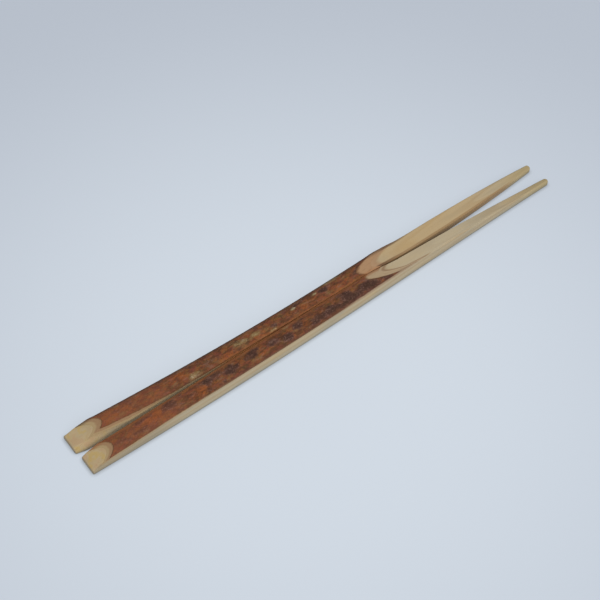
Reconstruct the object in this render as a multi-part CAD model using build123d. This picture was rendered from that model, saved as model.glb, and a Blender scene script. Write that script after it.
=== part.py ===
from build123d import *
from math import radians, tan
import os

# A pair of chopsticks whittled from a thin branch, with the bark left on the upper side of each grip.
# Both lie on their flat undersides, butts beside butts and tips beside tips.
# X runs from butt to tip, Y from the front stick to the rear one, Z up. Millimetres and degrees.

# Sizes that the two sticks share
length = 230.0  # butt to tip
bark_radius = 7.5  # outside of the branch
bark_thickness = 1.0
butt_crown = 5.0  # height of the bark over the underside, at the butt
grip_crown = 7.8
waist_crown = 8.1
grip_at = 45.0  # stations along the stick, from the butt
waist_at = 95.0
shoulder_at = 140.0
tip_width = 2.5
tip_height = 2.5
tip_round = 1.1  # corner radius of the tip in plan
scarf_angle = 7.2  # slope of the cut that runs in through the bark
scarf_run = 19.0  # from where it enters to where the long taper begins
scarf_blend = 60.0  # radius between that cut and the taper
edge_round = 0.4  # worn edges along the underside
taper_round = 0.5  # worn edges along the taper's upper face and round the tip
pair_clearance = 0.2  # between the sticks where they lie together

# The rear stick. From the middle line of its branch to its near and far sides:
rear_butt_near = 5.7
rear_grip_near = 3.7
rear_waist_near = 3.25
rear_shoulder_near = 3.5
rear_butt_far = 3.7
rear_grip_far = 3.5
rear_waist_far = 3.25
rear_shoulder_far = 3.25
# How far the middle line bows away from the front stick, from its waist:
rear_butt_bow = 5.0
rear_grip_bow = 1.0
rear_shoulder_bow = 0.8
rear_tip_bow = 3.7
rear_butt_face = 1.8  # height of the blunt end below the butt's facet
rear_butt_angle = 17.8
rear_scarf_at = 134.3
rear_scarf_roll = -11.0
rear_set_back = 0.7  # its butt stands out past the front stick's
# The bevel along its near side, where it meets the table: across at the butt, half way and at its end
rear_bevel_butt = -0.2
rear_bevel_half = -5.05
rear_bevel_end = -7.55
rear_bevel_run = 48.0
rear_bevel_tilt = 35.0  # from upright

# The front stick, in the same way
front_butt_near = 3.95
front_grip_near = 3.7
front_waist_near = 3.8
front_shoulder_near = 3.45
front_butt_far = 4.25
front_grip_far = 3.55
front_waist_far = 3.65
front_shoulder_far = 3.55
front_butt_bow = 0.15
front_grip_bow = -0.6
front_shoulder_bow = 0.7
front_tip_bow = 0.7
front_butt_face = 1.7
front_butt_angle = 21.5
front_scarf_at = 129.5
front_scarf_roll = 14.0

# Worked out from the sizes above
stations = (0.0, grip_at, waist_at, shoulder_at, length)
crowns = (butt_crown, grip_crown, waist_crown, waist_crown, waist_crown)
rear_nears = (rear_butt_near, rear_grip_near, rear_waist_near, rear_shoulder_near, tip_width / 2)
rear_fars = (rear_butt_far, rear_grip_far, rear_waist_far, rear_shoulder_far, tip_width / 2)
rear_bows = (rear_butt_bow, rear_grip_bow, 0.0, rear_shoulder_bow, rear_tip_bow)
front_nears = (front_butt_near, front_grip_near, front_waist_near, front_shoulder_near, tip_width / 2)
front_fars = (front_butt_far, front_grip_far, front_waist_far, front_shoulder_far, tip_width / 2)
front_bows = (front_butt_bow, front_grip_bow, 0.0, front_shoulder_bow, front_tip_bow)
overrun = 20.0  # how far cutters and branch run past the wood
reach = 2.0 * (bark_radius + max(rear_butt_bow, rear_tip_bow))


def across(x):
    """The plane across a stick at a station: its x is the stick's Y, its y is up."""
    return Plane((x, 0, 0), x_dir=(0, 1, 0), z_dir=(1, 0, 0))


def blank(nears, fars, bows):
    """The squared stick before its top is shaped, with the tip's corners rounded in plan."""
    sections = []
    for x, near, far, bow in zip(stations, nears, fars, bows):
        middle = bow + (far - near) / 2
        sections.append(across(x) * Pos(middle, 0) * Rectangle(near + far, 2 * reach))
    squared = split(loft(sections), bisect_by=Plane.XY, keep=Keep.TOP)
    tip_corners = squared.faces().sort_by(Axis.X)[-1].edges().sort_by(SortBy.LENGTH)[-2:]
    return fillet(tip_corners, tip_round)


def branch(bows, radius):
    """The round branch that a stick is split from, following its bow and its crown."""
    sections = []
    for x, bow, crown in zip(stations, bows, crowns):
        sections.append(across(x) * Pos(bow, crown - bark_radius) * Circle(radius))
    return loft(sections)


def scarf(start, roll, tip_bow):
    """All that the long whittled face takes away: a cut in through the bark, then a taper to the tip."""
    slope = tan(radians(scarf_angle))
    foot = Vector(start + scarf_run, waist_crown - scarf_run * slope)
    tip = Vector(length, tip_height)
    above = Vector(start - overrun, waist_crown + overrun * slope)
    beyond = tip + (tip - foot).normalized() * overrun
    line = FilletPolyline(above, foot, beyond, radius=scarf_blend)
    closing = Polyline(beyond, (beyond.X, reach), (above.X, reach), above)
    cutter = extrude(Plane.XZ * make_face(line + closing), amount=reach, both=True)
    hinge = Axis((0, tip_bow, tip_height), (1, 0, 0))
    return cutter.moved(Pos(0, tip_bow, 0)).rotate(hinge, -roll)


def butt_facet(face_height, angle):
    """All that the oblique cut across the butt takes away."""
    rise = overrun * tan(radians(angle))
    profile = make_face(Polyline((-overrun, face_height - rise), (overrun, face_height + rise),
                                 (overrun, reach), (-overrun, reach), close=True))
    return extrude(Plane.XZ * profile, amount=reach, both=True)


def bevel(butt, half, end, run, tilt):
    """All that the long bevel along a near side takes away, outside its foot and leaning in with height."""
    foot = ThreePointArc((0, butt), (run / 2, half), (run, end))
    before = Vector(-overrun, butt)
    after = foot @ 1 + (foot % 1) * 2 * overrun
    closing = Polyline(foot @ 1, after, (after.X, -reach), (before.X, -reach), before, foot @ 0)
    inwards = Vector(0, tan(radians(tilt)), 1)
    return extrude(make_face(foot + closing), amount=reach, dir=inwards)


def taper_rim(wood):
    """The upper edges of the long taper: along both sides and round the tip."""
    taper = wood.faces().filter_by(lambda face: face.normal_at().Z > 0.5).sort_by(Axis.X)[-1]
    middle = taper.center().X
    return [edge for edge in taper.edges() if edge.bounding_box().max.X > middle]


def stick(squared, bows, face_height, angle, scarf_at, scarf_roll):
    """One stick as its wood and the bark strip on it."""
    butt = butt_facet(face_height, angle)
    whittled = squared - scarf(scarf_at, scarf_roll, bows[-1])
    core = branch(bows, bark_radius - bark_thickness)
    bark = ((whittled - butt) & branch(bows, bark_radius)) - core
    worn = fillet(taper_rim(whittled), taper_round)
    underside = worn.faces().sort_by(Axis.Z)[0]
    worn = fillet(underside.edges(), edge_round)
    wood = (worn - butt) & core
    return wood, bark


rear_blank = blank(rear_nears, rear_fars, rear_bows)
rear_blank -= bevel(rear_bevel_butt, rear_bevel_half, rear_bevel_end, rear_bevel_run, rear_bevel_tilt)
rear_wood, rear_bark = stick(rear_blank, rear_bows, rear_butt_face, rear_butt_angle,
                             rear_scarf_at, rear_scarf_roll)
front_wood, front_bark = stick(blank(front_nears, front_fars, front_bows), front_bows, front_butt_face,
                               front_butt_angle, front_scarf_at, front_scarf_roll)

# The rear stick starts well clear and closes up on the front one
apart = Pos(-rear_set_back, reach, 0)
gap = (apart * rear_wood).distance_to(front_wood)
close_up = Pos(-rear_set_back, reach - gap + pair_clearance, 0)
rear_wood = close_up * rear_wood
rear_bark = close_up * rear_bark

# The origin is under the middle of the pair
extent = Compound([rear_wood, rear_bark, front_wood, front_bark]).bounding_box()
centred = Pos(-(extent.min.X + extent.max.X) / 2, -(extent.min.Y + extent.max.Y) / 2, -extent.min.Z)

os.makedirs("parts", exist_ok=True)
export_step(centred * rear_wood, "parts/rear_stick_wood.step")
export_step(centred * rear_bark, "parts/rear_stick_bark.step")
export_step(centred * front_wood, "parts/front_stick_wood.step")
export_step(centred * front_bark, "parts/front_stick_bark.step")
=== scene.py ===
"""A pair of chopsticks whittled from a thin branch, with the bark left on their grips.

Sizes in the classes are millimetres. X is measured along a stick from its butt, Y across it from
the middle of its waist, with the far side at plus, and Z up from the table. Finished meshes are in metres.
"""

import logging
import math
from collections.abc import Callable
from dataclasses import dataclass
from enum import Enum
from functools import cached_property
from typing import Any

import bmesh
import bpy
import numpy as np
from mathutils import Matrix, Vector, noise


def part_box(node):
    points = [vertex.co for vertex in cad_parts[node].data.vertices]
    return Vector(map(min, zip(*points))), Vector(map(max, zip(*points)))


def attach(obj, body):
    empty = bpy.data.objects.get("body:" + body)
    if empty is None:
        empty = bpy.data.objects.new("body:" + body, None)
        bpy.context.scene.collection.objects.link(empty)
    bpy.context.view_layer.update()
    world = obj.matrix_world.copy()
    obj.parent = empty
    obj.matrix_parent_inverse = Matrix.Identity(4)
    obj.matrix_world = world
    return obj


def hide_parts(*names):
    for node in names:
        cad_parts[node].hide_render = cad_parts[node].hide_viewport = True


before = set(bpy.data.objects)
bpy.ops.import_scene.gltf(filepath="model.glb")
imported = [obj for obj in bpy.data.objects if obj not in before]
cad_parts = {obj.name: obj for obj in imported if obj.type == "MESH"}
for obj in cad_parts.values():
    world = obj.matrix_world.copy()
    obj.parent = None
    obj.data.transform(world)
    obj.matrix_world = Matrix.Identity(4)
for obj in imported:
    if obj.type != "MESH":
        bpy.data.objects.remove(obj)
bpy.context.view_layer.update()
LOG = logging.getLogger("chopsticks")

MM = 0.001
LENGTH = 230.0
STATIONS = (0.0, 45.0, 95.0, 140.0, LENGTH)
HALVINGS = 36
ROUNDS = 12
BODY = "root"

Colour = tuple[float, float, float, float]
Point = tuple[float, float]


class Side(Enum):
    """A stick's two long sides, as the sign of Y."""

    NEAR = -1
    FAR = 1


class Growth(Enum):
    """What the bark carries in patches, as the axis of its growth attribute."""

    SCAB = 0
    LICHEN = 1
    RUST = 2


class Zone(Enum):
    """The three stretches of the bark's sheet, from butt to tip."""

    BUTT_CUT = 0
    OUTSIDE = 1
    SCARF_CUT = 2


def linear(red: int, green: int, blue: int) -> Colour:
    """Turns a screen colour into the scene's own.

    Args:
        red: 0 to 255.
        green: 0 to 255.
        blue: 0 to 255.

    Returns:
        The linear colour with full alpha.
    """
    shares = [channel / 255 for channel in (red, green, blue)]
    light = [s / 12.92 if s <= 0.04045 else ((s + 0.055) / 1.055) ** 2.4 for s in shares]
    return (*light, 1.0)


def ease(low: float, high: float, value: float) -> float:
    """Rises smoothly from 0 at low to 1 at high.

    Args:
        low: where the rise starts.
        high: where it ends.
        value: the place to read.

    Returns:
        The height of the rise there.
    """
    share = min(max((value - low) / (high - low), 0.0), 1.0)
    return share * share * (3 - 2 * share)


def crossing(gap: Callable[[float], float], low: float, high: float) -> float:
    """Finds where a rising function crosses nought, by halving.

    Args:
        gap: the function, below nought at low.
        low: start of the search.
        high: end of the search.

    Returns:
        The crossing.
    """
    for _ in range(HALVINGS):
        middle = (low + high) / 2
        low, high = (middle, high) if gap(middle) < 0 else (low, middle)
    return (low + high) / 2


def run(start: Point, end: Point, count: int) -> list[Point]:
    """Spaces points along a straight line.

    Args:
        start: the first point.
        end: where the line ends, which is left to what follows.
        count: how many points.

    Returns:
        The points.
    """
    return [tuple(a + (b - a) * step / count for a, b in zip(start, end)) for step in range(count)]


def corner(centre: Point, reach: Point, turn: int, count: int = 5) -> list[Point]:
    """Spaces points round a quarter of an ellipse, anticlockwise.

    Args:
        centre: its middle.
        reach: its two radii.
        turn: the quarter it starts at, from straight right.
        count: how many points, with both ends.

    Returns:
        The points.
    """
    angles = [math.pi / 2 * (turn + step / (count - 1)) for step in range(count)]
    return [(centre[0] + reach[0] * math.cos(a), centre[1] + reach[1] * math.sin(a)) for a in angles]


class Value:
    """A shader socket that takes part in Python sums, each adding a Math node."""

    def __init__(self, recipe: "Recipe", socket: bpy.types.NodeSocket) -> None:
        """Wraps one output socket of a recipe's tree."""
        self.recipe = recipe
        self.socket = socket

    def math(self, operation: str, *others: Any) -> "Value":
        """Adds one Math node.

        Args:
            operation: the node's operation.
            others: its further operands, sockets or numbers.

        Returns:
            The node's result.
        """
        return self.recipe.number("ShaderNodeMath", {"operation": operation}, self, *others)

    def __add__(self, other: Any) -> "Value":
        """Adds."""
        return self.math("ADD", other)

    def __radd__(self, other: Any) -> "Value":
        """Adds to a number."""
        return self.math("ADD", other)

    def __sub__(self, other: Any) -> "Value":
        """Takes away."""
        return self.math("SUBTRACT", other)

    def __rsub__(self, other: Any) -> "Value":
        """Is taken from a number."""
        return self.recipe.number("ShaderNodeMath", {"operation": "SUBTRACT"}, other, self)

    def __mul__(self, other: Any) -> "Value":
        """Multiplies."""
        return self.math("MULTIPLY", other)

    def __truediv__(self, other: Any) -> "Value":
        """Divides."""
        return self.math("DIVIDE", other)

    def step(self, low: float, high: float) -> "Value":
        """Rises smoothly from 0 at low to 1 at high.

        Args:
            low: where the rise starts.
            high: where it ends.

        Returns:
            The risen value.
        """
        settings = {"interpolation_type": "SMOOTHSTEP"}
        return self.recipe.number("ShaderNodeMapRange", settings, self, low, high)


class Recipe:
    """One material's node tree, written as expressions, and the colour that its layers add up to."""

    def __init__(self, name: str, ground: Colour) -> None:
        """Starts an empty material of that name on a ground colour."""
        self.colour: Any = ground
        self.material = bpy.data.materials.new(name)
        self.material.use_nodes = True
        self.tree = self.material.node_tree
        self.tree.nodes.clear()

    def node(self, kind: str, settings: dict[str, Any], sockets: dict[Any, Any]) -> bpy.types.Node:
        """Adds any node.

        Args:
            kind: the node's type name.
            settings: its properties.
            sockets: values or links by the input's name or number.

        Returns:
            The node.
        """
        made = self.tree.nodes.new(kind)
        for name, setting in settings.items():
            setattr(made, name, setting)
        for name, value in sockets.items():
            source = value.socket if isinstance(value, Value) else value
            if isinstance(source, bpy.types.NodeSocket):
                self.tree.links.new(source, made.inputs[name])
            else:
                made.inputs[name].default_value = source
        return made

    def number(self, kind: str, settings: dict[str, Any], *inputs: Any) -> Value:
        """Adds a node whose first output is a number.

        Args:
            kind: the node's type name.
            settings: its properties.
            inputs: values for its sockets, in order.

        Returns:
            The first output.
        """
        made = self.node(kind, settings, dict(enumerate(inputs)))
        return Value(self, made.outputs[0])

    def parts(self, vector: Any) -> list[Value]:
        """Splits a vector into its three numbers."""
        made = self.node("ShaderNodeSeparateXYZ", {}, {0: vector})
        return [Value(self, socket) for socket in made.outputs]

    def stored(self, name: str, output: str) -> bpy.types.NodeSocket:
        """Reads an attribute of the mesh, as its Fac or its Vector."""
        return self.node("ShaderNodeAttribute", {"attribute_name": name}, {}).outputs[output]

    def mix(self, share: Any, first: Any, second: Any) -> bpy.types.NodeSocket:
        """Mixes two colours.

        Args:
            share: the second colour's share.
            first: colour or link.
            second: colour or link.

        Returns:
            The mixed colour.
        """
        sockets = {0: share, 6: first, 7: second}
        return self.node("ShaderNodeMix", {"data_type": "RGBA"}, sockets).outputs[2]

    def lay(self, share: Any, colour: Any) -> None:
        """Lays a share of a colour over the colour so far."""
        self.colour = self.mix(share, self.colour, colour)

    def grain(self, vector: Any, scale: float, detail: float, rough: float = 0.5,
              twist: float = 0.0) -> Value:
        """Adds a Noise texture.

        Args:
            vector: where it is read.
            scale: its scale.
            detail: its octaves.
            rough: share kept from octave to octave.
            twist: its distortion.

        Returns:
            The noise, about 0.5.
        """
        shape = {"Scale": scale, "Detail": detail, "Roughness": rough, "Distortion": twist}
        made = self.node("ShaderNodeTexNoise", {}, {"Vector": vector, **shape})
        return Value(self, made.outputs["Fac"])

    def stretched(self, vector: Any, by: tuple[float, float, float]) -> bpy.types.NodeSocket:
        """Scales a vector along each axis.

        Args:
            vector: the vector.
            by: the three factors.

        Returns:
            The scaled vector.
        """
        return self.node("ShaderNodeVectorMath", {"operation": "MULTIPLY"}, {0: vector, 1: by}).outputs[0]

    def bump(self, height: Any, distance: float, strength: float) -> bpy.types.NodeSocket:
        """Adds a Bump node.

        Args:
            height: what it reads.
            distance: height of a value of 1, in metres.
            strength: its strength.

        Returns:
            The normal.
        """
        sockets = {"Height": height, "Distance": distance, "Strength": strength}
        return self.node("ShaderNodeBump", {}, sockets).outputs["Normal"]

    def finish(self, **sockets: Any) -> bpy.types.Material:
        """Closes the tree with a Principled shader.

        Args:
            sockets: values or links by socket name, with _ for a space.

        Returns:
            The material.
        """
        named = {name.replace("_", " "): value for name, value in sockets.items()}
        shader = self.node("ShaderNodeBsdfPrincipled", {}, named)
        self.node("ShaderNodeOutputMaterial", {}, {"Surface": shader.outputs[0]})
        return self.material


@dataclass(frozen=True)
class Curve:
    """A smooth line through five values, one at each station along a stick."""

    factors: tuple[float, ...]

    @classmethod
    def through(cls, *values: float) -> "Curve":
        """Fits the curve.

        Args:
            values: its value at each station.

        Returns:
            The curve.
        """
        return cls(tuple(float(f) for f in np.linalg.solve(np.vander(STATIONS), values)))

    def at(self, x: Any) -> Any:
        """Reads the curve.

        Args:
            x: a place along the stick, as a number or a shader value.

        Returns:
            The curve's value there, of the same kind.
        """
        total = x * self.factors[0] + self.factors[1]
        for factor in self.factors[2:]:
            total = total * x + factor
        return total


@dataclass(frozen=True)
class Branch:
    """The round branch that a stick was split from, with its bark."""

    bow: Curve
    crown: Curve
    radius: float = 7.5
    bark: float = 1.0

    def height(self, x: float, y: float, depth: float) -> float:
        """How high a layer of the branch stands over the table.

        Args:
            x: along the stick.
            y: across it.
            depth: how far the layer lies under the bark's outside.

        Returns:
            The height.
        """
        away = y - self.bow.at(x)
        return self.crown.at(x) - self.radius + math.sqrt((self.radius - depth) ** 2 - away ** 2)


@dataclass(frozen=True)
class ButtFacet:
    """The oblique cut across a butt."""

    face: float
    angle: float

    def height(self, x: float) -> float:
        """The cut's height at a place along the stick."""
        return self.face + x * math.tan(math.radians(self.angle))


@dataclass(frozen=True)
class Bevel:
    """The long bevel along a near side: where it meets the table at the butt, half way and at its end."""

    butt: float
    half: float
    end: float
    run: float
    tilt: float

    @cached_property
    def arc(self) -> tuple[Vector, float]:
        """The middle and the radius of the arc that its foot follows."""
        start, half = Vector((0.0, self.butt)), Vector((self.run / 2, self.half))
        end = Vector((self.run, self.end))
        sides = np.array([half - start, end - half])
        squares = [half.length_squared - start.length_squared, end.length_squared - half.length_squared]
        middle = Vector(np.linalg.solve(sides, np.array(squares) / 2))
        return middle, (start - middle).length

    def side(self, x: float, z: float) -> float:
        """The Y of the bevel.

        Args:
            x: along the stick.
            z: over the table.

        Returns:
            The Y, on the arc and then straight on.
        """
        middle, radius = self.arc
        along = min(x, self.run) - middle.x
        drop = math.sqrt(radius ** 2 - along ** 2)
        foot = middle.y - drop + max(x - self.run, 0.0) * along / drop
        return foot + z * math.tan(math.radians(self.tilt))


@dataclass(frozen=True)
class Scarf:
    """The long cut that runs in through the bark and on as a taper to the tip."""

    start: float
    roll: float
    hinge: float
    crown: float = 8.1
    angle: float = 7.2
    run: float = 19.0
    tip: float = 2.5

    def height(self, x: float, y: float) -> float:
        """The cut's height over the table.

        Args:
            x: along the stick.
            y: across it.

        Returns:
            The height, the taper meeting the steeper cut at its foot.
        """
        slope = math.tan(math.radians(self.angle))
        foot = self.crown - self.run * slope
        taper = (foot - self.tip) / (LENGTH - self.start - self.run)
        level = max(self.crown - (x - self.start) * slope, self.tip + (LENGTH - x) * taper)
        turn = math.radians(self.roll)
        return self.tip + (level - self.tip) / math.cos(turn) - (y - self.hinge) * math.tan(turn)


@dataclass(frozen=True)
class Blotch:
    """One patch on the bark: where it lies from the branch's middle line, and its half sizes."""

    kind: Growth
    x: float
    y: float
    long: float
    wide: float
    weight: float = 1.0

    def share(self, x: float, away: float) -> float:
        """How much of the patch is felt at a place.

        Args:
            x: along the stick.
            away: across it, from the branch's middle line.

        Returns:
            The patch's weight in its middle, fading to nought.
        """
        reach = math.hypot((x - self.x) / self.long, (away - self.y) / self.wide)
        return self.weight * (1 - ease(0.35, 1.35, reach))


@dataclass(frozen=True)
class Spot:
    """A shaded point's place in the branch, as shader values in millimetres."""

    vector: bpy.types.NodeSocket
    x: Value
    inside: dict[Side, Value]
    height: Value
    depth: Value


@dataclass(frozen=True)
class SideTint:
    """A tinted stretch of a long side: its ends, its strength, and how far it reaches in and down. Some
    tints are painted shade where the other stick shades the side; one is a painted brightening that offsets
    that shade.
    """

    side: Side
    colour: Colour
    start: float
    end: float
    reach: float
    weight: float
    fade: float = 12.0
    deep: float = 20.0

    def share(self, spot: Spot) -> Value:
        """How much of the tint is felt at a place.

        Args:
            spot: the shaded point.

        Returns:
            The stain's share.
        """
        started = spot.x.step(self.start, self.start + self.fade)
        ended = spot.x.step(self.end - self.fade, self.end)
        near = 1 - spot.inside[self.side].step(self.reach / 2, self.reach)
        shallow = 1 - spot.depth.step(self.deep - 0.8, self.deep)
        return started * (1 - ended) * near * shallow * self.weight


@dataclass(frozen=True)
class Sapwood:
    """Pale whittled wood: soft growth rings about the pith, long fibres, cambium next to the bark, and
    painted shade along its lower edge and butt end.
    """

    pale: Colour = linear(184, 166, 134)
    ring: Colour = linear(170, 146, 110)
    fibre: Colour = linear(148, 126, 94)
    warm: Colour = linear(190, 162, 112)
    # grey: a random grey tone, and the colour of painted shade low on the sides.
    grey: Colour = linear(152, 147, 128)
    cambium: Colour = linear(132, 94, 64)
    handled: Colour = linear(164, 146, 98)
    heart: Colour = linear(194, 169, 124)
    blush: Colour = linear(186, 150, 114)
    gold: Colour = linear(190, 160, 92)
    # foot: the colour of painted shade along the lower edge and on the butt's end face.
    foot: Colour = linear(112, 106, 94)
    roughness: float = 0.6
    specular: float = 0.35

    def material(self, stick: "Stick") -> bpy.types.Material:
        """Mixes the finish for one stick.

        Args:
            stick: the stick whose branch the rings follow.

        Returns:
            The material.
        """
        recipe = Recipe(f"{stick.name}_sapwood", self.pale)
        spot = stick.spot(recipe)
        fibres = recipe.grain(recipe.stretched(spot.vector, (0.05, 2.4, 2.4)), 1.0, 3.0, 0.6)
        pores = recipe.grain(recipe.stretched(spot.vector, (0.2, 7.0, 7.0)), 1.0, 2.0, 0.6)
        self.lay_growth(recipe, spot, fibres, pores)
        self.lay_cuts(recipe, stick, spot)
        self.lay_inner_bark(recipe, stick, spot, fibres)
        # Painted shade: darker towards the table along the lower edge, as a contact shadow.
        recipe.lay((1 - spot.height.step(0.2, 1.3)) * 0.75, self.foot)
        # Painted shade on the butt's blunt end face.
        recipe.lay((1 - spot.x.step(0.1, 0.6)) * 0.5, self.foot)
        # Tints along the long sides, among them painted shade and painted light where the sticks lie close.
        for tint in stick.side_tints:
            recipe.lay(tint.share(spot), tint.colour)
        rough = self.roughness + (fibres - 0.5) * 0.3
        normal = recipe.bump(fibres * 0.6 + pores * 0.4, 0.00012, 0.45)
        return recipe.finish(Base_Color=recipe.colour, Roughness=rough, Normal=normal,
                             Specular_IOR_Level=self.specular)

    def lay_growth(self, recipe: Recipe, spot: Spot, fibres: Value, pores: Value) -> None:
        """Lays what grew: rings, fibres, clouds of tone and pores; then painted shade that greys the wood
        towards the table.

        Args:
            recipe: the material's recipe.
            spot: the shaded point.
            fibres: noise along the fibres.
            pores: finer noise along them.
        """
        wander = recipe.grain(recipe.stretched(spot.vector, (0.02, 0.35, 0.35)), 1.0, 2.0) - 0.5
        rings = ((spot.depth + wander * 1.2) * 0.62).math("FRACT")
        late = rings.step(0.3, 0.86) * (1 - rings.step(0.9, 1.0))
        recipe.lay(late * 0.6, self.ring)
        recipe.lay(fibres.step(0.5, 0.8) * 0.45, self.fibre)
        cloud = recipe.grain(recipe.stretched(spot.vector, (0.05, 0.25, 0.25)), 1.0, 2.0)
        recipe.lay(cloud.step(0.5, 0.72) * 0.5, self.warm)
        recipe.lay((1 - cloud.step(0.3, 0.5)) * 0.35, self.grey)
        # Painted shade: greyer and darker towards the table.
        recipe.lay((1 - spot.height.step(0.3, 3.2)) * 0.45, self.grey)
        recipe.lay(pores.step(0.58, 0.72) * 0.35, self.fibre)

    def lay_cuts(self, recipe: Recipe, stick: "Stick", spot: Spot) -> None:
        """Tones the tip, the butt's facet and the bare taper.

        Args:
            recipe: the material's recipe.
            stick: the stick, whose taper has its own tone.
            spot: the shaded point.
        """
        recipe.lay(spot.x.step(202.0, 231.0) * 0.6, self.handled)
        upper = spot.inside[Side.NEAR].step(0.2, 0.6)
        facet = (1 - spot.x.step(4.0, 20.0)) * upper
        recipe.lay(facet * 0.5, self.heart)
        patchy = recipe.grain(spot.vector, 0.3, 3.0, 0.55)
        recipe.lay(facet * patchy.step(0.5, 0.62) * 0.45, self.blush)
        recipe.lay(facet * (1 - patchy.step(0.38, 0.5)) * 0.6, self.gold)
        bare = spot.x.step(128.0, 150.0) * (1 - spot.x.step(170.0, 220.0))
        recipe.lay(bare * upper * 0.5, stick.taper)

    def lay_inner_bark(self, recipe: Recipe, stick: "Stick", spot: Spot, fibres: Value) -> None:
        """Lays the last of the inner bark where the scarf has come through it, with the cambium's line.

        Args:
            recipe: the material's recipe.
            stick: the stick, whose inner bark has its own tone.
            spot: the shaded point.
            fibres: noise that frays the edge.
        """
        frayed = spot.depth + (fibres - 0.5) * 0.5
        scarfed = spot.x.step(100.0, 128.0)
        recipe.lay((1 - frayed.step(1.2, 1.6)) * scarfed * 0.9, stick.bast)
        edge = spot.depth.step(1.1, 1.3) * (1 - spot.depth.step(1.3, 1.6))
        recipe.lay(edge * scarfed * stick.outlined, self.cambium)


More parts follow.
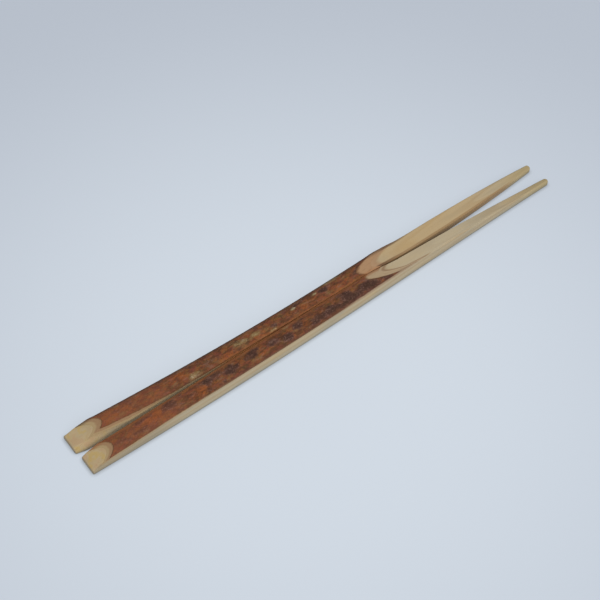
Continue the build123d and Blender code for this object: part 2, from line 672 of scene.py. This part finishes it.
@dataclass(frozen=True)
class Rind:
    """Bark: mottled orange-brown skin with dark scabs and lichen, tan where it is cut through."""

    orange: Colour = linear(144, 86, 46)
    red: Colour = linear(126, 70, 48)
    brown: Colour = linear(110, 76, 50)
    rust: Colour = linear(158, 88, 42)
    young: Colour = linear(154, 90, 62)
    olive: Colour = linear(120, 94, 56)
    plum: Colour = linear(118, 68, 60)
    film: Colour = linear(132, 104, 66)
    scab: Colour = linear(94, 63, 53)
    pit: Colour = linear(60, 41, 36)
    highlight_speckle: Colour = linear(152, 116, 100)
    lichen: Colour = linear(160, 140, 98)
    fleck: Colour = linear(194, 176, 148)
    seam: Colour = linear(66, 44, 30)
    cut: Colour = linear(122, 86, 58)
    inner: Colour = linear(160, 128, 96)
    pale: Colour = linear(174, 150, 112)
    roughness: float = 0.68
    specular: float = 0.15

    def material(self, stick: "Stick") -> bpy.types.Material:
        """Mixes the finish for one stick.

        Args:
            stick: the stick whose branch the layers follow.

        Returns:
            The material.
        """
        recipe = Recipe(f"{stick.name}_bark", self.orange)
        spot = stick.spot(recipe)
        crust = recipe.grain(spot.vector, 0.9, 5.0, 0.65, 0.4)
        fine = recipe.grain(spot.vector, 2.6, 4.0, 0.65)
        self.lay_skin(recipe, spot, crust, fine)
        streaks = recipe.grain(recipe.stretched(spot.vector, (0.25, 2.0, 2.0)), 1.0, 3.0)
        layer = Value(recipe, recipe.stored("layer", "Fac"))
        fibrous = layer + (streaks - 0.5) * 0.25
        recipe.lay(layer.step(0.0, 0.06), self.cut)
        opened = 1 - spot.x.step(40.0, 62.0) + spot.x.step(112.0, 125.0)
        bast = recipe.mix(spot.x.step(60.0, 100.0), self.inner, stick.bast)
        recipe.lay(fibrous.step(0.03, 0.26) * opened, bast)
        recipe.lay(streaks.step(0.52, 0.75) * layer.step(0.1, 0.3) * 0.35, self.cut)
        recipe.lay(fibrous.step(0.5, 0.75) * (1 - spot.x.step(40.0, 62.0)), self.pale)
        line = Value(recipe, recipe.stored("line", "Fac"))
        # The bark's near lip: on the rear stick a painted brightening that offsets the shade in the gap
        # between the sticks; on the front stick a darker tone.
        lips = (1 - line.step(-1.0, -0.7)) * spot.x.step(45.0, 75.0)
        recipe.lay(lips * 0.4, stick.lip)
        # Painted shading along the bark's far edge: darker on the rear stick, where it turns from the
        # light, and lighter on the front stick to offset the shade in the gap between the sticks.
        recipe.lay(line.step(0.5, 1.0) * 0.75, stick.far_rim_shading)
        outside = 1 - layer.step(0.0, 0.1)
        rough = self.roughness + (crust - 0.5) * 0.5
        normal = recipe.bump((fine * 0.5 + crust) * outside, 0.00035, 0.7)
        return recipe.finish(Base_Color=recipe.colour, Roughness=rough, Normal=normal,
                             Specular_IOR_Level=self.specular)

    def lay_skin(self, recipe: Recipe, spot: Spot, crust: Value, fine: Value) -> None:
        """Lays the bark's outside.

        Args:
            recipe: the material's recipe.
            spot: the shaded point.
            crust: noise that tears the edges of patches.
            fine: noise of the smallest scales.
        """
        scab, lichen, rust = recipe.parts(recipe.stored("growth", "Vector"))
        torn = (crust - 0.5) * 1.6 + (fine - 0.5) * 0.6
        self.lay_mottling(recipe, spot)
        recipe.lay((rust + torn).step(0.2, 0.9) * 0.75, self.rust)
        self.lay_patches(recipe, spot, scab + torn * 0.7, lichen + torn * 0.6, torn)
        self.lay_relief(recipe, spot, fine)
        recipe.lay((1 - spot.x.step(28.0, 50.0)) * 0.25, self.young)

    def lay_mottling(self, recipe: Recipe, spot: Spot) -> None:
        """Mottles the skin under all that grows on it.

        Args:
            recipe: the material's recipe.
            spot: the shaded point.
        """
        long = recipe.stretched(spot.vector, (0.55, 1.0, 1.0))
        blend = recipe.grain(long, 0.4, 4.0, 0.65, 0.6)
        recipe.lay(blend.step(0.4, 0.6), self.red)
        dull = recipe.grain(long, 0.9, 4.0, 0.65, 0.5)
        recipe.lay(dull.step(0.46, 0.62) * 0.8, self.brown)
        hue = recipe.grain(long, 0.6, 3.0, 0.6, 0.5)
        recipe.lay(hue.step(0.52, 0.62) * 0.45, self.olive)
        recipe.lay((1 - hue.step(0.38, 0.48)) * 0.4, self.plum)

    def lay_patches(self, recipe: Recipe, spot: Spot, scabbed: Value, mossy: Value, torn: Value) -> None:
        """Lays scabs and lichen on the skin, with specks of painted highlight on the scabs.

        Args:
            recipe: the material's recipe.
            spot: the shaded point.
            scabbed: share of scab, with torn edges.
            mossy: share of lichen, with torn edges.
            torn: the noise that tears them.
        """
        recipe.lay(mossy.step(0.0, 0.6) * 0.7, self.film)
        recipe.lay(scabbed.step(0.05, 0.75) * 0.85, self.scab)
        recipe.lay((scabbed + torn).step(0.55, 1.2) * 0.65, self.pit)
        highlight_speckle = recipe.grain(spot.vector, 1.7, 3.0, 0.6)
        # Painted highlight: pale specks on the scabs, as where their bumps catch the light.
        glinting = scabbed.step(0.1, 0.6) * highlight_speckle.step(0.55, 0.68)
        recipe.lay(glinting * 0.6, self.highlight_speckle)
        recipe.lay((mossy + torn * 0.5).step(0.5, 1.05) * 0.7, self.lichen)
        recipe.lay((mossy + (highlight_speckle - 0.5) * 2.0).step(0.95, 1.3) * 0.7, self.fleck)

    def lay_relief(self, recipe: Recipe, spot: Spot, fine: Value) -> None:
        """Darkens the seams and streaks, paints shade into the hollows, and lays streaks of painted
        highlight.

        Args:
            recipe: the material's recipe.
            spot: the shaded point.
            fine: noise of the smallest scales.
        """
        hollow = Value(recipe, recipe.stored("hollow", "Fac"))
        # Darker in the deep seams, and painted shade in the hollows: the bark darkens with the depth of its
        # relief.
        recipe.lay(hollow.step(0.2, 0.42) * 0.55, self.seam)
        recipe.lay((1 - fine.step(0.34, 0.52)) * 0.3, self.seam)
        streak = recipe.grain(recipe.stretched(spot.vector, (0.4, 1.0, 1.0)), 0.8, 3.0, 0.6, 0.5)
        rugged = spot.x.step(15.0, 70.0) * 0.6 + 0.4
        recipe.lay((1 - streak.step(0.38, 0.52)) * rugged * 0.55, self.seam)
        # Painted highlight: pale streaks among the seams.
        recipe.lay(streak.step(0.56, 0.68) * rugged * 0.3, self.highlight_speckle)


@dataclass(frozen=True)
class Stick:
    """One chopstick: its shape, and how its wood and its bark are made."""

    name: str
    near: Curve
    far: Curve
    branch: Branch
    butt: ButtFacet
    scarf: Scarf
    blotches: tuple[Blotch, ...]
    taper: Colour
    bast: Colour
    outlined: float
    lip: Colour
    far_rim_shading: Colour
    seed: float
    scabby: float = 0.0
    mossy: float = -0.16
    worn_underside: float = 0.4
    worn_butt: float = 0.8
    worn_taper: float = 0.5
    worn_tip: float = 0.8
    butt_round: float = 0.45
    tip_round: Point = (1.1, 0.7)
    skin_depth: float = 0.2
    torn_edge: float = 0.07
    knife_waves: Point = (0.09, 0.06)
    crisp_angle: float = 50.0
    crisp_round: float = 0.02
    nose_run: float = 40.0
    wood_loops: int = 380
    wood_weld: float = 0.001
    face_steps: int = 14
    bark_rows: tuple[int, int, int] = (14, 560, 60)
    bark_lines: int = 42
    bark_weld: float = 0.002
    bevel: Bevel | None = None
    side_tints: tuple[SideTint, ...] = ()

    @cached_property
    def nought(self) -> Vector:
        """Where this stick's own nought lies in the row, read from the box of its CAD wood."""
        farthest = max(self.side(float(x), Side.FAR, 0.0) for x in range(int(LENGTH) + 1))
        low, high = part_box(f"{self.name}_wood")
        return Vector((low[0] / MM, high[1] / MM - farthest, 0.0))

    def spot(self, recipe: Recipe) -> Spot:
        """Where a shaded point lies in the branch.

        Args:
            recipe: the material's recipe.

        Returns:
            Its place about the branch's middle line, with its distances in from the sides, its height and
            its depth under the bark.
        """
        coordinates = recipe.node("ShaderNodeTexCoord", {}, {})
        x, y, z = (part / MM for part in recipe.parts(coordinates.outputs["Object"]))
        x = x - self.nought.x
        across = y - self.nought.y - self.branch.bow.at(x)
        over = z + self.branch.radius - self.branch.crown.at(x)
        out = (across * across + over * over).math("SQRT")
        placed = recipe.node("ShaderNodeCombineXYZ", {}, {0: x, 1: across + self.seed, 2: over})
        inside = {Side.NEAR: self.near.at(x) + across, Side.FAR: self.far.at(x) - across}
        return Spot(placed.outputs[0], x, inside, z, self.branch.radius - out)

    def settle(self, x: float, y: float, z: float) -> Vector:
        """Turns a place on the stick into metres in the row's frame."""
        return (Vector((x, y, z)) + self.nought) * MM

    def side(self, x: float, side: Side, z: float) -> float:
        """The Y of one long side at a height over the table."""
        middle = self.branch.bow.at(x)
        if side is Side.FAR:
            return middle + self.far.at(x)
        near = middle - self.near.at(x)
        return max(near, self.bevel.side(x, z)) if self.bevel else near

    def across(self, x: float, share: float, depth: float) -> float:
        """The Y at a share of the stick's width, on a layer of its branch or the cut through it.

        A bevel leans in with height, so the near side's Y and height are worked out in rounds.

        Args:
            x: along the stick.
            share: -1 at the near side and 1 at the far side.
            depth: how far the layer lies under the bark's outside.

        Returns:
            The Y.
        """
        near, far = (self.side(x, side, 0.0) for side in (Side.NEAR, Side.FAR))
        for _ in range(ROUNDS):
            near = (near + self.side(x, Side.NEAR, self.top(x, near, depth))) / 2
        return (near + far + share * (far - near)) / 2

    def cut(self, x: float, y: float) -> float:
        """The height of the knife's cuts over the table, which takes away all above it."""
        return min(self.butt.height(x), self.scarf.height(x, y))

    def bared(self, x: float, y: float) -> float:
        """How deep the knife has gone into the wood under the bark, or less than nought where it hasn't."""
        return self.branch.height(x, y, self.branch.bark) - self.cut(x, y)

    def top(self, x: float, y: float, depth: float) -> float:
        """The upper face of the branch's layer at a depth: as it grew, or where the knife has been."""
        return min(self.branch.height(x, y, depth), self.cut(x, y))

    def growth(self, x: float, y: float) -> Vector:
        """What the bark carries at a place.

        Args:
            x: along the stick.
            y: across it.

        Returns:
            Shares of scab, lichen and rust.
        """
        spot = Vector((x * 0.55, y, self.seed))
        away = y - self.branch.bow.at(x)
        shares = [
            0.8 * noise.fractal(spot * 0.4, 1.0, 2.0, 4) + self.scabby,
            0.7 * noise.fractal(spot * 0.42 + Vector((0, 0, 20)), 1.0, 2.0, 4) + self.mossy,
            0.6 * noise.fractal(spot * 0.22 + Vector((0, 0, 40)), 1.0, 2.0, 3),
        ]
        for blotch in self.blotches:
            shares[blotch.kind.value] += blotch.share(x, away)
        return Vector(shares)

    def hollow(self, x: float, y: float) -> float:
        """How far the bark's outside lies under its smooth crown.

        Args:
            x: along the stick.
            y: across it.

        Returns:
            The depth, less than nought on the highest scabs, and shallow next to a cut.
        """
        spot = Vector((x * 0.65, y, self.seed))
        lumps = noise.fractal(spot * 0.2, 1.0, 2.0, 2)
        nearest, second = noise.voronoi(spot * 0.55)[0][:2]
        seam = 1 - ease(0.0, 0.2, second - nearest)
        crust = noise.fractal(spot * 1.2, 0.9, 2.1, 3)
        scab, lichen, _ = (ease(0.2, 0.8, share) for share in self.growth(x, y))
        depth = self.skin_depth - 0.15 * lumps + 0.1 * seam
        depth -= 0.14 * scab + 0.08 * lichen + 0.07 * crust * (0.6 + scab)
        smooth = ease(0.5, 1.0, (y - self.branch.bow.at(x)) / self.far.at(x))
        depth += (self.skin_depth - depth) * smooth
        whole = ease(0.0, 0.8, self.cut(x, y) - self.branch.height(x, y, 0.0))
        return depth * (0.15 + 0.85 * whole)

    def frayed(self, x: float, share: float) -> float:
        """How far the torn edges of the bark stand out past the sides.

        Args:
            x: along the stick.
            share: -1 at the near side and 1 at the far side.

        Returns:
            The distance along Y, nought away from both edges.
        """
        torn = 0.6 + noise.noise(Vector((x * 0.5, share, self.seed)))
        return math.copysign(self.torn_edge * torn * ease(0.86, 1.0, abs(share)), share)

    def wear(self, x: float, side: Side) -> float:
        """How far a long upper edge is rounded.

        Args:
            x: along the stick.
            side: which edge.

        Returns:
            Its radius: crisp under the bark, worn where the knife has bared it, most at the tip.
        """
        nose = ease(LENGTH - self.nose_run, LENGTH, x)
        taper = self.worn_taper + (self.worn_tip - self.worn_taper) * nose
        worn = self.worn_butt if x < LENGTH / 2 else taper
        bared = self.bared(x, self.across(x, side.value, self.branch.bark))
        return max(worn * ease(0.0, 0.9, bared), self.crisp_round)

    def drawn_in(self, x: float) -> Point:
        """How far the rounded butt or tip draws a loop in.

        Args:
            x: along the stick.

        Returns:
            The distances across and up.
        """
        insets = []
        for tip_round in self.tip_round:
            radius = self.butt_round if x < LENGTH / 2 else tip_round
            past = radius - min(x, LENGTH - x)
            insets.append(radius - math.sqrt(radius ** 2 - max(past, 0.0) ** 2))
        return tuple(insets)

    def ring(self, x: float) -> list[Point]:
        """One loop round the wood.

        Args:
            x: along the stick.

        Returns:
            Y and Z of each point, from the middle of the underside round by the far side.
        """
        inward, upward = self.drawn_in(x)
        depth, low = self.branch.bark, self.worn_underside
        near, far = (self.across(x, sign, depth) - sign * inward for sign in (-1, 1))
        foot = self.side(x, Side.NEAR, low) + inward
        middle, half = (near + far) / 2, (far - near) / 2
        worn_near, worn_far = (min(self.wear(x, side), half * 0.9) for side in (Side.NEAR, Side.FAR))
        low = min(low, half * 0.9)
        near_top, far_top = (self.top(x, y, depth) - upward for y in (near + worn_near, far - worn_far))
        near_shoulder = max(near_top - worn_near, upward + low)
        far_shoulder = max(far_top - worn_far, upward + low)
        face = run((far - worn_far, 0.0), (near + worn_near, 0.0), self.face_steps)[1:]
        sides = run((near, near_shoulder), (near, upward + low), 8)[1:]
        return [
            *run((middle, upward), (far - low, upward), 4),
            *corner((far - low, upward + low), (low, low), 3),
            *run((far, upward + low), (far, far_shoulder), 6)[1:],
            *corner((far - worn_far, far_shoulder), (worn_far, far_top - far_shoulder), 0),
            *[(y, self.top(x, y, depth) - upward) for y, _ in face],
            *corner((near + worn_near, near_shoulder), (worn_near, near_top - near_shoulder), 1),
            *[(self.side(x, Side.NEAR, z) + inward, z) for _, z in sides],
            *corner((foot + low, upward + low), (low, low), 2),
            *run((foot + low, upward), (middle, upward), 4)[1:],
        ]

    def knife(self, x: float, y: float, z: float) -> Point:
        """The knife's shallow waves on the bare wood.

        Args:
            x: along the stick.
            y: across it.
            z: over the table.

        Returns:
            How far the surface moves across and up.
        """
        lifted = ease(0.3, 1.2, z)
        ends = ease(0.0, 3.0, min(x, LENGTH - x))
        side = Side.FAR if y > self.branch.bow.at(x) else Side.NEAR
        across = noise.noise(Vector((x * 0.06, z * 0.2, self.seed + 7 * side.value)))
        up = noise.noise(Vector((x * 0.08, y * 0.3, self.seed + 20)))
        across_by, up_by = self.knife_waves
        return across_by * across * lifted * ends, up_by * up * lifted * ease(0.0, 0.6, self.bared(x, y))

    def wood(self) -> bpy.types.Object:
        """Models the stick's wood, a tube of loops closed at both ends.

        Returns:
            The finished piece.
        """
        loops, around = self.wood_loops, len(self.ring(LENGTH / 2))
        mesh = bmesh.new()
        bmesh.ops.create_grid(mesh, x_segments=loops, y_segments=around, size=1.0)
        rings = {}
        for vert in mesh.verts:
            row, column = (round((part + 1) / 2 * count) for part, count in zip(vert.co, (loops, around)))
            x = LENGTH * (0.5 - 0.5 * math.cos(math.pi * (row + 0.35) / (loops + 0.7)))
            if row not in rings:
                rings[row] = self.ring(x)
            y, z = rings[row][column % around]
            across, up = self.knife(x, y, z)
            vert.co = self.settle(x, y + across, z + up)
        bmesh.ops.remove_doubles(mesh, verts=mesh.verts, dist=self.wood_weld * MM)
        bmesh.ops.holes_fill(mesh, edges=[edge for edge in mesh.edges if edge.is_boundary])
        return self.close(mesh, "wood")

    def bark(self) -> bpy.types.Object:
        """Models the stick's bark, a sheet laid on the branch, cut at both ends and thickened to the wood.

        Returns:
            The finished piece.
        """
        rows = self.bark_rows
        mesh = bmesh.new()
        bmesh.ops.create_grid(mesh, x_segments=sum(rows), y_segments=self.bark_lines, size=1.0)
        growth = mesh.verts.layers.float_vector.new("growth")
        layer, hollow, line = (mesh.verts.layers.float.new(name) for name in ("layer", "hollow", "line"))
        spans = {}
        for vert in mesh.verts:
            row = round((vert.co.x + 1) / 2 * sum(rows))
            share = vert.co.y
            if share not in spans:
                spans[share] = self.span(share)
            zone = Zone((row > rows[0]) + (row > rows[0] + rows[1]))
            along = (row - sum(rows[:zone.value])) / rows[zone.value]
            start, end = spans[share][zone.value:zone.value + 2]
            x = start + (end - start) * along
            y = self.across(x, share, self.skin_depth) + self.frayed(x, share)
            vert[growth], vert[hollow] = self.growth(x, y), self.hollow(x, y)
            outside = self.branch.height(x, y, vert[hollow])
            z = outside if zone is Zone.OUTSIDE else self.cut(x, y)
            vert[layer] = outside - z
            vert[line] = share
            vert.co = Vector((x, y, max(z, self.branch.height(x, y, self.branch.bark))))
        self.thicken(mesh, layer, line)
        return self.close(mesh, "bark")

    def thicken(self, mesh: bmesh.types.BMesh, layer: Any, line: Any) -> None:
        """Carries the bark's sheet down to the wood and moves it to its place.

        Args:
            mesh: the sheet, on the stick.
            layer: the vertex layer that holds depth under the bark's outside.
            line: the vertex layer that holds which line along the bark a point is on.
        """
        made = bmesh.ops.extrude_face_region(mesh, geom=mesh.faces[:])
        for vert in made["geom"]:
            if isinstance(vert, bmesh.types.BMVert):
                vert.co.y = self.across(vert.co.x, vert[line], self.branch.bark)
                vert.co.z = self.branch.height(vert.co.x, vert.co.y, self.branch.bark)
                vert[layer] = self.branch.bark
        for vert in mesh.verts:
            vert.co = self.settle(*vert.co)
        bmesh.ops.remove_doubles(mesh, verts=mesh.verts, dist=self.bark_weld * MM)

    def span(self, share: float) -> tuple[float, float, float, float]:
        """Where one line along the bark starts and ends.

        Args:
            share: which line, -1 at the near side and 1 at the far side.

        Returns:
            X where the butt's facet leaves the wood and the bark, and where the scarf enters the bark and
            the wood.
        """
        def over(x: float, depth: Callable[[float, float], float]) -> float:
            """How far the knife passes over a layer of the branch."""
            y = self.across(x, share, self.skin_depth)
            return self.cut(x, y) - self.branch.height(x, y, depth(x, y))

        def seat(x: float, y: float) -> float:
            """The depth where bark meets wood."""
            return self.branch.bark

        middle = (self.scarf.start + self.butt.face) / 2
        return (crossing(lambda x: over(x, seat), 0.0, middle),
                crossing(lambda x: over(x, self.hollow), 0.0, middle),
                crossing(lambda x: -over(x, self.hollow), middle, LENGTH),
                crossing(lambda x: -over(x, seat), middle, LENGTH))

    def close(self, mesh: bmesh.types.BMesh, part: str) -> bpy.types.Object:
        """Turns a finished bmesh into a piece that stands for its CAD node.

        Args:
            mesh: the shape, which is freed.
            part: wood or bark.

        Returns:
            The piece.
        """
        bmesh.ops.recalc_face_normals(mesh, faces=mesh.faces)
        if mesh.calc_volume(signed=True) < 0:
            bmesh.ops.reverse_faces(mesh, faces=mesh.faces)
        data = bpy.data.meshes.new(f"{self.name}_{part}_whittled")
        mesh.to_mesh(data)
        mesh.free()
        data.shade_smooth()
        data.set_sharp_from_angle(angle=math.radians(self.crisp_angle))
        piece = bpy.data.objects.new(data.name, data)
        bpy.context.scene.collection.objects.link(piece)
        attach(piece, BODY)
        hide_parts(f"{self.name}_{part}")
        return piece

    def build(self) -> list[bpy.types.Object]:
        """Models and dresses the stick.

        Returns:
            Its pieces.
        """
        wood, bark = self.wood(), self.bark()
        wood.data.materials.append(Sapwood().material(self))
        bark.data.materials.append(Rind().material(self))
        return [wood, bark]


@dataclass(frozen=True)
class Studio:
    """The pale floor, the soft light and the camera."""

    eye: Vector = Vector((-0.18718, -0.22557, 0.37742))
    target: Vector = Vector((-0.00788, 0.00843, 0.00022))
    field: float = 28.0
    sheet: Colour = linear(112, 117, 123)
    glow: Colour = linear(184, 192, 201)
    painted_falloff: Colour = linear(156, 163, 174)
    shade: Colour = linear(84, 86, 84)
    shade_reach: float = 0.0016
    shade_samples: int = 8
    pool: Vector = Vector((-0.032, -0.023))
    pool_reach: Point = (0.03, 0.26)
    floor_reach: float = 3.0
    sky: float = 0.5
    lamp: Vector = Vector((0.1, -1.1, 1.35))
    lamp_size: float = 1.5
    lamp_power: float = 18.0

    def place(self, name: str, data: Any, at: Vector, target: Vector) -> bpy.types.Object:
        """Adds a lamp or a camera.

        Args:
            name: the object's name.
            data: its lamp or camera.
            at: where it stands.
            target: where it looks.

        Returns:
            The object.
        """
        placed = bpy.data.objects.new(name, data)
        bpy.context.scene.collection.objects.link(placed)
        placed.location = at
        placed.rotation_euler = (target - at).to_track_quat("-Z", "Y").to_euler()
        return placed

    def floor(self) -> None:
        """Lays a glowing floor: a painted pool of light about the sticks, dimmer beyond it, and painted
        shade where they touch it.
        """
        mesh = bmesh.new()
        bmesh.ops.create_grid(mesh, x_segments=2, y_segments=2, size=self.floor_reach)
        data = bpy.data.meshes.new("floor")
        mesh.to_mesh(data)
        mesh.free()
        piece = bpy.data.objects.new("floor", data)
        bpy.context.scene.collection.objects.link(piece)
        recipe = Recipe("pale_sheet", self.glow)
        x, y, _ = recipe.parts(recipe.node("ShaderNodeTexCoord", {}, {}).outputs["Object"])
        x, y = x - self.pool.x, y - self.pool.y
        away = (x * x + y * y).math("SQRT")
        # Painted light: the floor dims away from a pool about the sticks.
        recipe.lay(away.step(*self.pool_reach), self.painted_falloff)
        settings = {"samples": self.shade_samples}
        open_sky = recipe.node("ShaderNodeAmbientOcclusion", settings, {"Distance": self.shade_reach})
        recipe.lay(1 - Value(recipe, open_sky.outputs["AO"]), self.shade)
        # The floor glows: its colour and its painted shade are given as emission, which lights the sticks
        # from below and keeps shadows on it faint.
        data.materials.append(recipe.finish(Base_Color=self.sheet, Roughness=0.8,
                                            Emission_Color=recipe.colour, Emission_Strength=1.0))

    def light(self) -> None:
        """Sets an even sky and one broad lamp high on the near side."""
        scene = bpy.context.scene
        scene.view_settings.view_transform = "Standard"
        scene.world = bpy.data.worlds.new("studio")
        scene.world.use_nodes = True
        sky = scene.world.node_tree.nodes["Background"].inputs
        sky["Color"].default_value = (1.0, 1.0, 1.0, 1.0)
        sky["Strength"].default_value = self.sky
        lamp = bpy.data.lights.new("broad_lamp", "AREA")
        lamp.energy = self.lamp_power
        lamp.size = self.lamp_size
        self.place("broad_lamp", lamp, self.lamp, self.target)

    def camera(self) -> None:
        """Places the camera at the picture's viewing angle."""
        data = bpy.data.cameras.new("camera")
        data.lens = data.sensor_width / 2 / math.tan(math.radians(self.field / 2))
        data.clip_start = 0.01
        bpy.context.scene.camera = self.place("camera", data, self.eye, self.target)


CROWN = Curve.through(5.0, 7.8, 8.1, 8.1, 8.1)
REAR = Stick(
    name="rear_stick",
    near=Curve.through(5.7, 3.7, 3.25, 3.5, 1.25),
    far=Curve.through(3.7, 3.5, 3.25, 3.25, 1.25),
    branch=Branch(bow=Curve.through(5.0, 1.0, 0.0, 0.8, 3.7), crown=CROWN),
    butt=ButtFacet(face=1.8, angle=17.8),
    scarf=Scarf(start=134.3, roll=-11.0, hinge=3.7),
    bevel=Bevel(butt=-0.2, half=-5.05, end=-7.55, run=48.0, tilt=35.0),
    blotches=(
        Blotch(Growth.RUST, 20.0, 0.0, 9.0, 2.5, 0.5),
        Blotch(Growth.LICHEN, 21.0, 2.4, 2.5, 0.7, 0.7),
        Blotch(Growth.LICHEN, 30.0, 2.2, 2.0, 0.6, 0.7),
        Blotch(Growth.RUST, 44.0, -0.5, 6.0, 2.0, 0.6),
        Blotch(Growth.LICHEN, 52.0, -2.4, 3.4, 1.3, 1.0),
        Blotch(Growth.RUST, 65.0, -2.2, 6.0, 1.8, 0.8),
        Blotch(Growth.LICHEN, 74.0, -0.9, 4.2, 1.9, 1.0),
        Blotch(Growth.LICHEN, 80.5, -0.4, 2.4, 1.3, 1.0),
        Blotch(Growth.RUST, 84.0, -1.8, 4.0, 1.6, 0.7),
        Blotch(Growth.LICHEN, 87.5, -2.9, 2.0, 0.9, 1.1),
        Blotch(Growth.SCAB, 88.0, -1.4, 1.8, 1.0, 0.9),
        Blotch(Growth.LICHEN, 99.0, 0.5, 1.6, 0.8, 1.4),
        Blotch(Growth.SCAB, 101.5, 1.2, 2.6, 1.1, 0.8),
        Blotch(Growth.RUST, 108.0, -1.4, 7.0, 1.7, 0.4),
        Blotch(Growth.LICHEN, 110.0, 1.1, 1.8, 0.7, 1.4),
        Blotch(Growth.SCAB, 114.0, 0.4, 2.2, 1.0, 0.8),
        Blotch(Growth.LICHEN, 119.0, 2.4, 5.0, 1.0, 1.0),
        Blotch(Growth.RUST, 123.0, -1.0, 4.0, 1.8, 0.2),
        Blotch(Growth.SCAB, 116.0, 1.2, 4.0, 1.4, 0.7),
        Blotch(Growth.SCAB, 129.0, -0.4, 5.0, 1.7, 0.6),
    ),
    side_tints=(
        # Bark-brown tone with a painted brightening that offsets the shade in the gap between the sticks.
        SideTint(Side.NEAR, linear(206, 142, 84), 56.0, 116.0, 0.5, 0.9),
        # Painted shade: the near side in the other stick's shadow where the scarf begins.
        SideTint(Side.NEAR, linear(96, 66, 42), 124.0, 158.0, 1.1, 0.85),
        # Painted shade: the near side in the other stick's shadow along the taper.
        SideTint(Side.NEAR, linear(146, 112, 72), 140.0, 222.0, 1.0, 0.7),
        SideTint(Side.FAR, linear(92, 68, 48), 2.0, 20.0, 0.6, 0.75, fade=4.0, deep=1.4),
        SideTint(Side.FAR, linear(92, 68, 48), 130.0, 168.0, 1.3, 0.75, deep=2.4),
    ),
    taper=linear(186, 156, 108),
    bast=linear(172, 136, 102),
    outlined=0.15,
    # Painted light: the near lip brightened against the shade in the gap between the sticks.
    lip=linear(166, 104, 60),
    # Painted shade on the rear bark's far edge.
    far_rim_shading=linear(72, 56, 46),
    seed=31.0,
    scabby=-0.1,
)
FRONT = Stick(
    name="front_stick",
    near=Curve.through(3.95, 3.7, 3.8, 3.45, 1.25),
    far=Curve.through(4.25, 3.55, 3.65, 3.55, 1.25),
    branch=Branch(bow=Curve.through(0.15, -0.6, 0.0, 0.7, 0.7), crown=CROWN),
    butt=ButtFacet(face=1.7, angle=21.5),
    scarf=Scarf(start=129.5, roll=14.0, hinge=0.7),
    blotches=(
        Blotch(Growth.SCAB, 22.5, -2.0, 4.0, 1.3, 0.8),
        Blotch(Growth.SCAB, 24.0, 1.6, 2.4, 1.2, 0.5),
        Blotch(Growth.RUST, 29.0, 0.4, 5.0, 2.4, 1.2),
        Blotch(Growth.SCAB, 35.5, 0.4, 3.6, 2.4, 1.0),
        Blotch(Growth.SCAB, 40.0, 3.0, 3.0, 1.2, 0.9),
        Blotch(Growth.RUST, 48.0, -1.0, 6.0, 2.0, 0.7),
        Blotch(Growth.SCAB, 54.0, 0.9, 4.6, 2.0, 0.9),
        Blotch(Growth.SCAB, 63.0, -0.4, 3.6, 2.4, 1.1),
        Blotch(Growth.SCAB, 72.5, 0.0, 3.6, 1.9, 0.9),
        Blotch(Growth.RUST, 78.0, -2.0, 4.0, 1.3, 0.7),
        Blotch(Growth.SCAB, 83.0, 0.2, 3.0, 1.9, 0.9),
        Blotch(Growth.SCAB, 88.5, -1.9, 2.6, 1.4, 1.0),
        Blotch(Growth.LICHEN, 91.0, 2.6, 2.6, 0.9, 1.0),
        Blotch(Growth.SCAB, 94.5, 0.5, 2.4, 1.8, 1.3),
        Blotch(Growth.RUST, 98.5, -0.6, 2.4, 2.0, 0.8),
        Blotch(Growth.SCAB, 102.0, -1.8, 2.6, 2.2, 1.0),
        Blotch(Growth.SCAB, 109.0, -1.4, 4.0, 1.5, 0.9),
        Blotch(Growth.SCAB, 118.5, 0.4, 3.4, 2.0, 1.0),
        Blotch(Growth.SCAB, 127.5, -0.6, 4.6, 1.9, 0.9),
        Blotch(Growth.SCAB, 122.0, -2.6, 22.0, 2.2, 0.9),
    ),
    side_tints=(SideTint(Side.NEAR, linear(136, 122, 98), -20.0, 42.0, 0.6, 0.4, fade=20.0),),
    taper=linear(208, 193, 162),
    bast=linear(184, 160, 128),
    outlined=0.6,
    lip=linear(104, 62, 46),
    # Painted light on the front bark's far edge, offsetting the shade in the gap.
    far_rim_shading=linear(150, 96, 58),
    seed=83.0,
    scabby=0.04,
)


def main() -> None:
    """Builds the pair, then the studio round it."""
    logging.basicConfig(level=logging.INFO)
    LOG.info("the frame holds %d nodes", len(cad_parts))
    for stick in (REAR, FRONT):
        for piece in stick.build():
            LOG.info("%s: %d faces", piece.name, len(piece.data.polygons))
    studio = Studio()
    studio.floor()
    studio.light()
    studio.camera()


if __name__ == "__main__":
    main()
